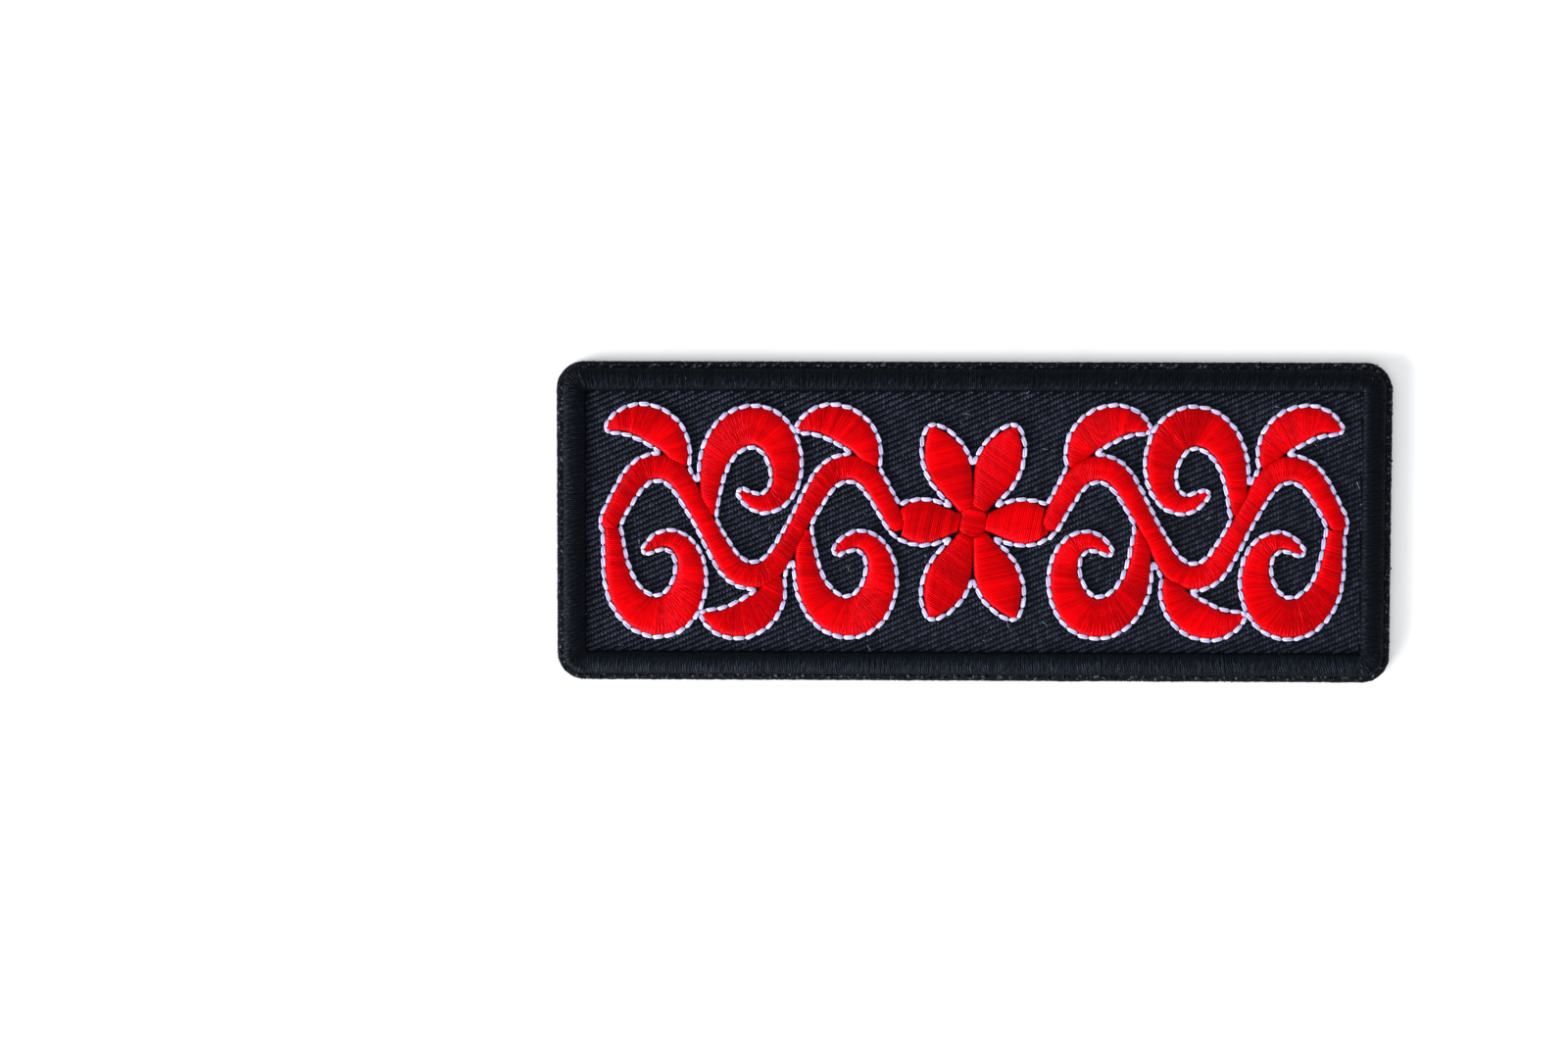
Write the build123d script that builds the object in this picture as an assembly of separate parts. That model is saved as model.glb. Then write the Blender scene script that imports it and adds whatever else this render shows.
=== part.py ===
from build123d import *
import math
import os

# Embroidered patch, lying face up: a hot-cut twill ground, a raised satin border set in from the cut
# edge, and a flower with scrolling vines in satin stitch, outlined in running stitch.
# Millimetres. X runs along the patch, Y up its face, Z out of its face. The origin is the middle of the back.

# Twill ground
patch_length = 101.6
patch_height = 38.9
corner_radius = 3.3
ground_thickness = 1.2
cut_edge_round = 0.25

# Satin border
cut_margin = 0.7
border_width = 2.65
border_height = 0.75
border_round = 0.55
window_corner_radius = 0.4

# Embroidered flower and vines
ornament_margin_x = 3.1
ornament_margin_y = 2.75
column_height = 0.65
seam = 0.12
trim_overrun = 0.2
boss_radius = 1.75
petal_count = 6
flower_radius = 10.2
petal_width = 4.9
petal_overlap = 0.8
cell_pitch = 12.0
stroke_width = 4.7

# Running-stitch outline
outline_gap = 0.1
outline_width = 0.6
outline_height = 0.45

# Worked-out places
border_corner_radius = max(corner_radius - cut_margin, window_corner_radius)
window_length = patch_length - 2 * (cut_margin + border_width)
window_height = patch_height - 2 * (cut_margin + border_width)
ornament_half_length = window_length / 2 - ornament_margin_x
ornament_half_height = window_height / 2 - ornament_margin_y
flower_stretch = ornament_half_height / flower_radius
vine_start = flower_radius - petal_overlap
vine_length = ornament_half_length - vine_start
cells_per_side = max(1, round(vine_length / cell_pitch))
cell_length = vine_length / cells_per_side
face_z = ground_thickness

# Rows of a stem, curl or leaf: x is a share of cell_length, y of ornament_half_height and
# width of stroke_width. The rows steer a smooth curve, which starts and ends on the first and last.
STEM_ROWS = [
    dict(x=0.00, y=0.00, width=0.40),
    dict(x=0.17, y=0.28, width=0.46),
    dict(x=0.34, y=0.51, width=0.55),
    dict(x=0.66, y=0.51, width=0.55),
    dict(x=0.83, y=0.28, width=0.46),
    dict(x=1.00, y=0.00, width=0.40),
]
CURL_ROWS = [
    dict(x=0.985, y=0.02, width=0.30),
    dict(x=0.955, y=-0.30, width=0.42),
    dict(x=0.90, y=-0.66, width=0.70),
    dict(x=0.62, y=-0.91, width=0.94),
    dict(x=0.27, y=-0.86, width=0.94),
    dict(x=0.11, y=-0.50, width=0.68),
    dict(x=0.20, y=-0.21, width=0.46),
    dict(x=0.44, y=-0.13, width=0.34),
    dict(x=0.61, y=-0.26, width=0.14),
]
LEAF_ROWS = [
    dict(x=0.26, y=0.40, width=0.16),
    dict(x=0.27, y=0.69, width=0.62),
    dict(x=0.51, y=0.89, width=0.96),
    dict(x=0.80, y=0.95, width=0.64),
    dict(x=1.00, y=0.86, width=0.14),
]

# Rows of a petal: reach is a share of the flower's radius, width of petal_width.
PETAL_ROWS = [
    dict(reach=0.20, width=0.42),
    dict(reach=0.36, width=0.72),
    dict(reach=0.60, width=1.18),
    dict(reach=0.84, width=0.74),
    dict(reach=0.985, width=0.13),
]

# How satin stitch crowns: up the column by height, its outline narrows to a share of its width.
CROWN_ROWS = [
    dict(height=0.00, width=1.00),
    dict(height=0.45, width=0.96),
    dict(height=0.80, width=0.78),
    dict(height=1.00, width=0.42),
]

POINTS_PER_SPAN = 3


def smooth(points):
    """Points along the uniform cubic B-spline of (x, y, width) points, from the first to the last."""
    first = [2 * a - b for a, b in zip(points[0], points[1])]
    last = [2 * a - b for a, b in zip(points[-1], points[-2])]
    guides = [first, *points, last]
    line = []
    for a, b, c, d in zip(guides, guides[1:], guides[2:], guides[3:]):
        for step in range(POINTS_PER_SPAN):
            t = step / POINTS_PER_SPAN
            weights = (
                (1 - t) ** 3,
                3 * t**3 - 6 * t**2 + 4,
                -3 * t**3 + 3 * t**2 + 3 * t + 1,
                t**3,
            )
            line.append([sum(w * p for w, p in zip(weights, four)) / 6 for four in zip(a, b, c, d)])
    return line + [list(points[-1])]


def column_face(points, grow=0.0, share=1.0):
    """Outline of one satin column: two rails beside its smooth line, and a round cap at each end."""
    line = smooth(points)
    left, right, ways = [], [], []
    for i, (x, y, width) in enumerate(line):
        before, after = line[max(i - 1, 0)], line[min(i + 1, len(line) - 1)]
        length = math.hypot(after[0] - before[0], after[1] - before[1])
        way_x, way_y = (after[0] - before[0]) / length, (after[1] - before[1]) / length
        half = width / 2 * share + grow
        left.append((x - way_y * half, y + way_x * half))
        right.append((x + way_y * half, y - way_x * half))
        ways.append((way_x, way_y, half))

    def cap(i, sign):
        way_x, way_y, half = ways[i]
        return (line[i][0] + sign * way_x * half, line[i][1] + sign * way_y * half)

    edges = [
        Spline(*left),
        ThreePointArc(left[-1], cap(-1, 1), right[-1]),
        Spline(*reversed(right)),
        ThreePointArc(right[0], cap(0, -1), left[0]),
    ]
    return make_face(edges)


def crowned(section):
    """Loft of section(share) from the cloth up to the crown."""
    floors = [
        Pos(0, 0, face_z + row["height"] * column_height) * section(row["width"]) for row in CROWN_ROWS
    ]
    return loft(floors, ruled=True)


def cell_points(rows, cell, side):
    """Points of a vine's part in one cell. Cells turn over one after the other, and side -1 mirrors them."""
    turn = 1 if cell % 2 == 0 else -1
    start = vine_start + cell * cell_length
    return [
        (
            side * (start + row["x"] * cell_length),
            turn * row["y"] * ornament_half_height,
            row["width"] * stroke_width,
        )
        for row in rows
    ]


def petal_points(number):
    angle = math.radians(360 * number / petal_count)
    return [
        (
            row["reach"] * flower_radius * math.cos(angle),
            row["reach"] * flower_radius * flower_stretch * math.sin(angle),
            row["width"] * petal_width,
        )
        for row in PETAL_ROWS
    ]


def column_lines():
    """Every satin column's points by name, in the order of sewing: each is trimmed by those before it."""
    lines = {}
    for part, rows in (("stem", STEM_ROWS), ("curl", CURL_ROWS), ("leaf", LEAF_ROWS)):
        for side, sign in (("left", -1), ("right", 1)):
            for cell in range(cells_per_side):
                lines[f"{part}_{side}_{cell + 1}"] = cell_points(rows, cell, sign)
    for number in range(petal_count):
        lines[f"petal_{number + 1}"] = petal_points(number)
    return lines


def rounded_plate(length, height, radius, thickness):
    return extrude(RectangleRounded(length, height, radius), thickness)


def twill_ground():
    plate = rounded_plate(patch_length, patch_height, corner_radius, ground_thickness)
    top_edges = plate.faces().sort_by(Axis.Z)[-1].edges()
    return fillet(top_edges, cut_edge_round)


def satin_border():
    outer = rounded_plate(
        patch_length - 2 * cut_margin, patch_height - 2 * cut_margin, border_corner_radius, border_height
    )
    window = rounded_plate(window_length, window_height, window_corner_radius, border_height)
    ring = Pos(0, 0, face_z) * (outer - window)
    top_edges = ring.faces().sort_by(Axis.Z)[-1].edges()
    return fillet(top_edges, min(border_round, border_height * 0.9, border_width * 0.4))


def boss():
    return crowned(lambda share: Circle(boss_radius * share))


def near(one, other):
    """Whether two flat outlines' boxes meet."""
    a, b = one.bounding_box(), other.bounding_box()
    return a.min.X < b.max.X and b.min.X < a.max.X and a.min.Y < b.max.Y and b.min.Y < a.max.Y


def satin_columns():
    """The boss and every column as solids, each cut clear of the ones sewn before it."""
    solids = {"boss": boss()}
    sewn = [Circle(boss_radius + seam)]
    for name, points in column_lines().items():
        outline = column_face(points)
        solid = crowned(lambda share: column_face(points, share=share))
        for earlier in sewn:
            if near(outline, earlier):
                solid -= Pos(0, 0, face_z - trim_overrun) * extrude(earlier, column_height + 2 * trim_overrun)
        solids[name] = solid
        sewn.append(column_face(points, grow=seam))
    return solids


def white_outline():
    """Ridge of running stitch that follows the edge of the whole ornament, and of each gap in it."""

    def silhouette(grow):
        faces = [Circle(boss_radius + grow)]
        faces += [column_face(points, grow=grow) for points in column_lines().values()]
        return Sketch() + faces

    ridge = silhouette(outline_gap + outline_width) - silhouette(outline_gap)
    return Pos(0, 0, face_z) * extrude(ridge, outline_height)


def main():
    os.makedirs("parts", exist_ok=True)
    nodes = {"twill_ground": twill_ground(), "satin_border": satin_border(), **satin_columns()}
    nodes["white_outline"] = white_outline()
    for name, shape in nodes.items():
        export_step(shape, f"parts/{name}.step")
        print(name, "solids", len(shape.solids()), "volume", round(shape.volume, 3))


main()
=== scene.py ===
import math

import bpy
import numpy as np
from mathutils import Euler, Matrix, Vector


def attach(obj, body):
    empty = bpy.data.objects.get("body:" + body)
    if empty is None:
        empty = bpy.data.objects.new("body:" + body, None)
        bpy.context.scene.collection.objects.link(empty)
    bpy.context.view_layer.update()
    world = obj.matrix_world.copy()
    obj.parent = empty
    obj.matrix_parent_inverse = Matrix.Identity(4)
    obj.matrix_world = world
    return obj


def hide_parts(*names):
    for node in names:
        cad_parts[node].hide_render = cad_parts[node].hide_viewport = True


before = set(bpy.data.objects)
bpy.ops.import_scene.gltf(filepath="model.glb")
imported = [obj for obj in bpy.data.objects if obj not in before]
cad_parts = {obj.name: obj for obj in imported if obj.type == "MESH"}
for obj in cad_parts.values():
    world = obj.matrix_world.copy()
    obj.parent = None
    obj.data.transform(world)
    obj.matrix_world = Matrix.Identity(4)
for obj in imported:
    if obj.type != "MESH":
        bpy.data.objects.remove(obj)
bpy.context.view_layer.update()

mm = 0.001
print("frame loaded:", len(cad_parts), "nodes")

# Sizes below are in mm, on the patch as it lies: x along it, y up its face, z out of the face.
patch = {"length": 101.6, "height": 38.9, "cornerRadius": 3.3, "thickness": 1.2}
band = {"margin": 0.7, "width": 2.65, "height": 0.75, "windowCorner": 0.4}
ornament = {"marginX": 3.1, "marginY": 2.75, "height": 0.65, "seam": 0.12, "bossRadius": 1.75,
            "petals": 6, "flowerRadius": 10.2, "petalWidth": 4.9, "petalOverlap": 0.8,
            "cellPitch": 12.0, "strokeWidth": 4.7, "sampleStep": 0.06}

faceZ = patch["thickness"]
halfSize = np.array([patch["length"], patch["height"]]) / 2
windowHalf = halfSize - band["margin"] - band["width"]  # the twill that the border leaves open
ornamentHalfX = windowHalf[0] - ornament["marginX"]
ornamentHalfY = windowHalf[1] - ornament["marginY"]
vineStart = ornament["flowerRadius"] - ornament["petalOverlap"]
cellCount = int(round((ornamentHalfX - vineStart) / ornament["cellPitch"]))
cellLength = (ornamentHalfX - vineStart) / cellCount

# Vine parts: x in cells, y in half heights, width in strokes.
stemRows = [(0.00, 0.00, 0.40), (0.17, 0.28, 0.46), (0.34, 0.51, 0.55),
            (0.66, 0.51, 0.55), (0.83, 0.28, 0.46), (1.00, 0.00, 0.40)]
curlRows = [(0.985, 0.02, 0.30), (0.955, -0.30, 0.42), (0.90, -0.66, 0.70), (0.62, -0.91, 0.94),
            (0.27, -0.86, 0.94), (0.11, -0.50, 0.68), (0.20, -0.21, 0.46), (0.44, -0.13, 0.34),
            (0.61, -0.26, 0.14)]
leafRows = [(0.26, 0.40, 0.16), (0.27, 0.69, 0.62), (0.51, 0.89, 0.96), (0.80, 0.95, 0.64),
            (1.00, 0.86, 0.14)]
petalRows = [(0.20, 0.42), (0.36, 0.72), (0.60, 1.18), (0.84, 0.74), (0.985, 0.13)]  # reach, width


class Wiring:  # adds nodes to a tree and joins them
    def __init__(self, tree):
        self.tree = tree

    def feed(self, socket, value):
        if isinstance(value, bpy.types.NodeSocket):
            self.tree.links.new(value, socket)
        elif value is not None:
            socket.default_value = value

    def node(self, kind, inputs=None, **settings):
        made = self.tree.nodes.new(kind)
        for key, value in settings.items():
            setattr(made, key, value)
        for key, value in (inputs or {}).items():
            self.feed(made.inputs[key], value)
        return made

    def sum(self, operation, *values, clamp=False):
        made = self.node("ShaderNodeMath", operation=operation, use_clamp=clamp)
        for socket, value in zip(made.inputs, values):
            self.feed(socket, value)
        return made.outputs[0]

    def fold(self, operation, values, clamp):  # from the left, and only the last step is clamped
        total = values[0]
        for value in values[1:-1]:
            total = self.sum(operation, total, value)
        return self.sum(operation, total, values[-1], clamp=clamp)

    def plus(self, *values, clamp=False):
        return self.fold("ADD", values, clamp)

    def times(self, *values, clamp=False):
        return self.fold("MULTIPLY", values, clamp)

    def minus(self, first, second, clamp=False):
        return self.sum("SUBTRACT", first, second, clamp=clamp)

    def vector(self, operation, *values):
        made = self.node("ShaderNodeVectorMath", operation=operation)
        slots = [made.inputs[0], made.inputs["Scale"]] if operation == "SCALE" else made.inputs
        for socket, value in zip(slots, values):
            self.feed(socket, value)
        return made.outputs["Value" if operation == "DOT_PRODUCT" else "Vector"]

    def moved(self, *steps):  # the sum of several ways, each as long as its amount
        total = None
        for way, amount in steps:
            step = self.vector("SCALE", way, amount)
            total = step if total is None else self.vector("ADD", total, step)
        return total

    def joined(self, x, y, z):
        return self.node("ShaderNodeCombineXYZ", {0: x, 1: y, 2: z}).outputs[0]

    def parted(self, vector):
        return self.node("ShaderNodeSeparateXYZ", {0: vector}).outputs

    def noise(self, place, scale, detail):
        made = self.node("ShaderNodeTexNoise", {"Vector": place, "Scale": scale, "Detail": detail})
        return made.outputs["Fac"]

    def mixed(self, share, low, high):
        made = self.node("ShaderNodeMix", {"Factor": share, "A": low, "B": high}, data_type="RGBA")
        return made.outputs["Result"]

    def named(self, name):  # a number that the points carry
        made = self.node("GeometryNodeInputNamedAttribute", {"Name": name}, data_type="FLOAT")
        return made.outputs[0]

    def step(self, kind, geometry, inputs=None, **settings):  # a node that the geometry goes through
        return self.node(kind, {0: geometry, **(inputs or {})}, **settings).outputs[0]

    def stored(self, geometry, name, value, domain="POINT"):
        return self.step("GeometryNodeStoreNamedAttribute", geometry, {"Name": name, "Value": value},
                         data_type="FLOAT", domain=domain)

    def captured(self, geometry, kind, name, value, domain):  # a value as it stands at this step
        made = self.node("GeometryNodeCaptureAttribute", {"Geometry": geometry}, domain=domain)
        made.capture_items.new(kind, name)
        self.feed(made.inputs[name], value)
        return made.outputs["Geometry"], made.outputs[name]

    def chance(self, low, high, seed, salt, number=None):  # one draw for each thread or yarn
        inputs = {2: low, 3: high, "ID": number, "Seed": self.plus(seed, float(salt))}
        return self.node("FunctionNodeRandomValue", inputs, data_type="FLOAT").outputs[1]

    def painted(self, geometry, material):
        return self.step("GeometryNodeSetMaterial", geometry, {"Material": material})

    def solid(self, geometry):  # plain smooth faces, with no instance left
        whole = self.step("GeometryNodeRealizeInstances", geometry)
        return self.step("GeometryNodeSetShadeSmooth", whole)


socketKinds = {tuple: "Color", float: "Float", int: "Int"}


def openTree(name, kind, inputs, outputs):  # each input gets a first value, or only a kind
    tree = bpy.data.node_groups.new(name, kind)
    for label, value in inputs.items():
        what = socketKinds.get(type(value), value)
        socket = tree.interface.new_socket(label, in_out="INPUT", socket_type="NodeSocket" + what)
        if what != value:
            socket.default_value = value
    for label, what in outputs.items():
        tree.interface.new_socket(label, in_out="OUTPUT", socket_type="NodeSocket" + what)
    wiring = Wiring(tree)
    return tree, wiring, wiring.node("NodeGroupInput").outputs, wiring.node("NodeGroupOutput").inputs


# Finishes

surfaceOutputs = {"Color": "Color", "Roughness": "Float", "Height": "Float"}
fibreLook = {"cloudScale": 620.0, "cloudDetail": 3.0, "hairsAcross": 7.0, "hairStretch": 1500.0,
             "hairShuffle": 50.0, "hairDetail": 2.0, "hairTone": 0.4, "hairGloss": 0.3,
             "plyRelief": 0.4, "hairRelief": 1.2}


def fibreGroup():  # colour, roughness and twist of one thread, each thread with its own tone
    tree, w, given, out = openTree("threadFibre", "ShaderNodeTree", {
        "Dark": (0.1, 0.1, 0.1, 1), "Bright": (0.5, 0.5, 0.5, 1), "Roughness": 0.5, "Tone Power": 1.0,
        "Tone Range": 0.6, "Gloss Range": 0.0, "Patchiness": 0.5, "Twist Length": 0.0009,
        "Thread Width": 0.00029}, surfaceOutputs)
    look = fibreLook
    tone, along, across = [w.node("ShaderNodeAttribute", attribute_name=name).outputs["Fac"]
                           for name in ("threadTone", "threadAlong", "threadAcross")]
    place = w.node("ShaderNodeTexCoord").outputs["Object"]
    cloud = w.noise(place, look["cloudScale"], look["cloudDetail"])
    turns = w.plus(w.sum("DIVIDE", along, given["Twist Length"]),
                   w.sum("DIVIDE", across, given["Thread Width"]))
    strands = w.joined(w.times(turns, look["hairsAcross"]), w.times(along, look["hairStretch"]),
                       w.times(tone, look["hairShuffle"]))
    hair = w.noise(strands, 1.0, look["hairDetail"])
    hairSway = w.minus(hair, 0.5)
    spread = w.times(w.minus(tone, 0.5), given["Tone Range"])
    patchy = w.times(w.minus(cloud, 0.5), given["Patchiness"])
    share = w.plus(spread, 0.5, patchy, w.times(hairSway, look["hairTone"]), clamp=True)
    share = w.sum("POWER", share, given["Tone Power"])
    w.feed(out["Color"], w.mixed(share, given["Dark"], given["Bright"]))
    dull = w.plus(given["Roughness"], w.times(w.minus(0.5, tone), given["Gloss Range"]))
    w.feed(out["Roughness"], w.plus(dull, w.times(hairSway, look["hairGloss"]), clamp=True))
    ply = w.sum("SINE", w.times(turns, 2 * math.pi))
    w.feed(out["Height"], w.plus(w.times(ply, look["plyRelief"]), w.times(hair, look["hairRelief"])))
    return tree


weaveLook = {"gritScale": 5200.0, "gritDetail": 3.0, "ribRelief": 0.30, "yarnRelief": 0.14,
             "toneShare": 0.8, "roughness": 0.62, "roughSpread": 0.3}


def weaveGroup():  # ribs of a twill seen between its yarns and on its back
    tree, w, given, out = openTree("clothWeave", "ShaderNodeTree", {
        "Dark": (0.01, 0.01, 0.01, 1), "Bright": (0.05, 0.05, 0.05, 1), "Rib Spacing": 0.00066,
        "Rib Angle": math.radians(24.2)}, surfaceOutputs)
    look = weaveLook
    place = w.node("ShaderNodeTexCoord").outputs["Object"]
    turned = w.node("ShaderNodeVectorRotate", {
        "Vector": place, "Angle": w.times(given["Rib Angle"], -1.0)}, rotation_type="Z_AXIS").outputs[0]
    parts = w.parted(turned)
    across, yarn = [
        w.sum("SINE", w.times(w.sum("DIVIDE", parts[axis], given["Rib Spacing"]), turn * math.pi))
        for axis, turn in (("Y", 2), ("X", 4))]
    grit = w.noise(place, look["gritScale"], look["gritDetail"])
    relief = w.plus(w.times(across, look["ribRelief"]), w.times(yarn, look["yarnRelief"]), grit)
    share = w.times(relief, look["toneShare"], clamp=True)
    w.feed(out["Color"], w.mixed(share, given["Dark"], given["Bright"]))
    w.feed(out["Roughness"], w.plus(look["roughness"], w.times(grit, look["roughSpread"]), clamp=True))
    w.feed(out["Height"], relief)
    return tree


fibre, weave = fibreGroup(), weaveGroup()


def finish(name, group, dark, bright, values, specular, bump, gloss=(1, 1, 1)):  # one material
    material = bpy.data.materials.new(name)
    material.use_nodes = True
    w = Wiring(material.node_tree)
    w.tree.nodes.clear()
    inputs = {"Dark": (*dark, 1), "Bright": (*bright, 1), **values}
    pattern = w.node("ShaderNodeGroup", inputs, node_tree=group).outputs
    relief = w.node("ShaderNodeBump", {
        "Height": pattern["Height"], "Strength": bump[0], "Distance": bump[1]})
    shader = w.node("ShaderNodeBsdfPrincipled", {
        "Base Color": pattern["Color"], "Roughness": pattern["Roughness"],
        "Normal": relief.outputs["Normal"], "Specular IOR Level": specular,
        "Specular Tint": (*gloss, 1)})
    w.node("ShaderNodeOutputMaterial", {"Surface": shader.outputs[0]})
    return material


coolGloss = (0.52, 0.68, 1.0)  # the pale blue that the threads give back
redGloss = (0.42, 0.46, 1.0)
cutYarn = {"Tone Range": 0.9, "Patchiness": 0.9, "Twist Length": 0.0006, "Thread Width": 0.0003}
redSatin = finish(
    "redSatinThread", fibre, (0.41, 0.0, 0.0001), (0.755, 0.0, 0.0006),
    {"Roughness": 0.34, "Tone Range": 0.80, "Patchiness": 0.4}, 0.05, (0.35, 0.00005), redGloss)
# The underlay is painted a darker red than the satin thread above it: painted shade in the seams and
# gaps where it shows.
redUnderlayPaintedShade = finish(
    "redUnderlayPaintedShade", fibre, (0.38, 0.0, 0.0004), (0.60, 0.0004, 0.0012),
    {"Roughness": 0.8, "Patchiness": 0.6}, 0.05, (0.3, 0.00004))
whiteStitchThread = finish(
    "whiteStitchThread", fibre, (0.43, 0.40, 0.64), (0.64, 0.625, 0.85),
    {"Roughness": 0.5, "Patchiness": 0.3}, 0.25, (0.35, 0.00004), coolGloss)
blackSatin = finish(
    "blackSatinThread", fibre, (0.0007, 0.0008, 0.0010), (0.0021, 0.0022, 0.0028),
    {"Roughness": 0.38, "Tone Range": 1.0, "Patchiness": 0.7, "Gloss Range": 0.35},
    0.104, (1.0, 0.00005), coolGloss)
# The underlay is painted lighter than the black satin thread above it: painted light that lifts the
# shade in the creases where it shows.
blackUnderlayPaintedLight = finish(
    "blackUnderlayPaintedLight", fibre, (0.0026, 0.0027, 0.0032), (0.0046, 0.0047, 0.0056),
    {"Roughness": 0.8, "Patchiness": 0.6}, 0.03, (0.3, 0.00004))
twillYarn = finish(
    "blackTwillYarn", fibre, (0.0028, 0.0031, 0.0049), (0.0166, 0.0173, 0.0288),
    {"Roughness": 0.42, "Tone Power": 1.55, "Tone Range": 1.1, "Patchiness": 0.9,
     "Twist Length": 0.0005, "Thread Width": 0.0003}, 0.20, (0.6, 0.00005), coolGloss)
# Black yarn with a few pale grey-blue grains: painted glints, and painted light on the margin that the
# raised border shades.
cutEdgeYarnPaintedGlints = finish(
    "blackCutEdgePaintedGlints", fibre, (0.0018, 0.0020, 0.0032), (0.078, 0.076, 0.092),
    {"Roughness": 0.5, "Tone Power": 2.6, **cutYarn}, 0.11, (0.6, 0.00005), coolGloss)
meltedYarn = finish(
    "blackMeltedYarn", fibre, (0.0020, 0.0022, 0.0034), (0.024, 0.0235, 0.030),
    {"Roughness": 0.42, "Tone Power": 1.8, **cutYarn}, 0.16, (0.5, 0.00004), coolGloss)
twillCloth = finish(
    "blackTwillCloth", weave, (0.0036, 0.0038, 0.0057), (0.0100, 0.0105, 0.0160),
    {}, 0.03, (0.6, 0.00006))
fuzzFibre = finish(
    "cutEdgeFuzz", fibre, (0.02, 0.02, 0.03), (0.22, 0.21, 0.23),
    {"Roughness": 0.6, "Tone Power": 1.5, "Tone Range": 1.0, "Patchiness": 0.9}, 0.3, (0.3, 0.00002))
lintFibre = finish(
    "paleLint", fibre, (0.25, 0.26, 0.30), (0.70, 0.70, 0.76),
    {"Roughness": 0.7, "Patchiness": 0.8}, 0.2, (0.3, 0.00002))
print("finishes ready")


# Trees that lay thread and scatter yarn

threadHabit = {"noiseScale": 700.0, "noiseStep": 0.37, "drift": 1.4, "stray": 0.7,
               "thickness": (0.9, 1.1), "taperPower": 6.0, "ownTone": 0.75, "driftTone": 0.4,
               "clumpTone": 0.3}


def threadTree():  # each loose edge of the input becomes one stitch that arches from end to end
    tree, w, given, out = openTree("layThreads", "GeometryNodeTree", {
        "Geometry": "Geometry", "Thread Radius": 0.00014, "End Taper": 0.6, "Steps": 10, "Sides": 5,
        "Strands": 1, "Strand Spacing": 0.0, "Strand Shift": 0.0, "Fullness": 2.0, "Shoulder": 4.0,
        "Wobble": 0.00003, "Lift Spread": 0.00003, "Seed": 1, "Thread Material": "Material",
        "Pad Material": "Material"}, {"Geometry": "Geometry"})
    habit = threadHabit
    split = w.node("GeometryNodeSeparateGeometry", {
        "Geometry": given["Geometry"], "Selection": w.named("pad")}, domain="POINT").outputs
    curves = w.step("GeometryNodeMeshToCurve", split["Inverted"])
    copies = w.node("GeometryNodeDuplicateElements", {
        "Geometry": curves, "Amount": given["Strands"]}, domain="SPLINE").outputs
    fine = w.step("GeometryNodeResampleCurve", copies["Geometry"], {"Count": given["Steps"]})
    index = w.node("GeometryNodeInputIndex").outputs[0]
    threads, number = w.captured(fine, "INT", "Thread", index, "CURVE")

    def chance(low, high, salt):
        return w.chance(low, high, given["Seed"], salt, number)

    parameter = w.node("GeometryNodeSplineParameter").outputs
    length = w.node("GeometryNodeSplineLength").outputs["Length"]
    tangent = w.node("GeometryNodeInputTangent").outputs[0]
    position = w.node("GeometryNodeInputPosition").outputs[0]
    sideways = w.vector("CROSS_PRODUCT", tangent, (0, 0, 1))
    threads, side = w.captured(threads, "VECTOR", "Side", sideways, "POINT")

    even = w.minus(w.times(parameter["Factor"], 2.0), 1.0)
    eased = w.sum("SINE", w.times(even, math.pi / 2))  # more steps where the thread turns down
    fromMiddle = w.sum("ABSOLUTE", eased)
    belly = w.minus(1.0, w.sum("POWER", fromMiddle, given["Fullness"]))
    shoulder = w.sum("SQRT", w.minus(1.0, w.sum("POWER", fromMiddle, given["Shoulder"]), clamp=True))
    crown = w.plus(w.named("crown"), w.times(given["Lift Spread"], chance(-1.0, 1.0, 11)))
    cloud = w.node("ShaderNodeTexNoise", {
        "Vector": position, "Scale": habit["noiseScale"], "W": w.times(number, habit["noiseStep"])},
        noise_dimensions="4D").outputs["Fac"]
    drift = w.times(w.minus(cloud, 0.5), habit["drift"])
    stray = w.times(w.plus(drift, chance(-habit["stray"], habit["stray"], 23)), given["Wobble"])
    strand = w.minus(copies["Duplicate Index"], w.times(w.minus(given["Strands"], 1.0), 0.5))
    offset = w.moved((tangent, w.times(w.minus(eased, even), length, 0.5)),
                     (side, w.plus(w.times(strand, given["Strand Spacing"], belly), stray)),
                     (tangent, w.times(strand, given["Strand Shift"])),
                     ((0, 0, 1), w.times(crown, shoulder)))

    tone = w.plus(w.times(chance(0.0, 1.0, 37), habit["ownTone"]), w.times(drift, habit["driftTone"]),
                  w.times(w.named("clump"), habit["clumpTone"]), clamp=True)
    threads = w.stored(w.stored(threads, "threadTone", tone), "threadAlong", parameter["Length"])
    taper = w.times(given["End Taper"], w.sum("POWER", fromMiddle, habit["taperPower"]))
    radius = w.times(w.minus(1.0, taper), chance(*habit["thickness"], 51))
    threads = w.step("GeometryNodeSetCurveRadius", threads, {"Radius": radius})
    threads = w.step("GeometryNodeSetPosition", threads, {"Offset": offset})
    ring = w.node("GeometryNodeCurvePrimitiveCircle", {
        "Resolution": given["Sides"], "Radius": given["Thread Radius"]}).outputs[0]
    tubes = w.step("GeometryNodeCurveToMesh", threads, {"Profile Curve": ring, "Fill Caps": True})
    tubes = w.stored(tubes, "threadAcross", w.vector("DOT_PRODUCT", position, side))
    both = w.node("GeometryNodeJoinGeometry")
    for part, material in ((tubes, "Thread Material"), (split["Selection"], "Pad Material")):
        w.feed(both.inputs[0], w.painted(part, given[material]))
    w.feed(out["Geometry"], w.solid(both.outputs[0]))
    return tree


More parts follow.
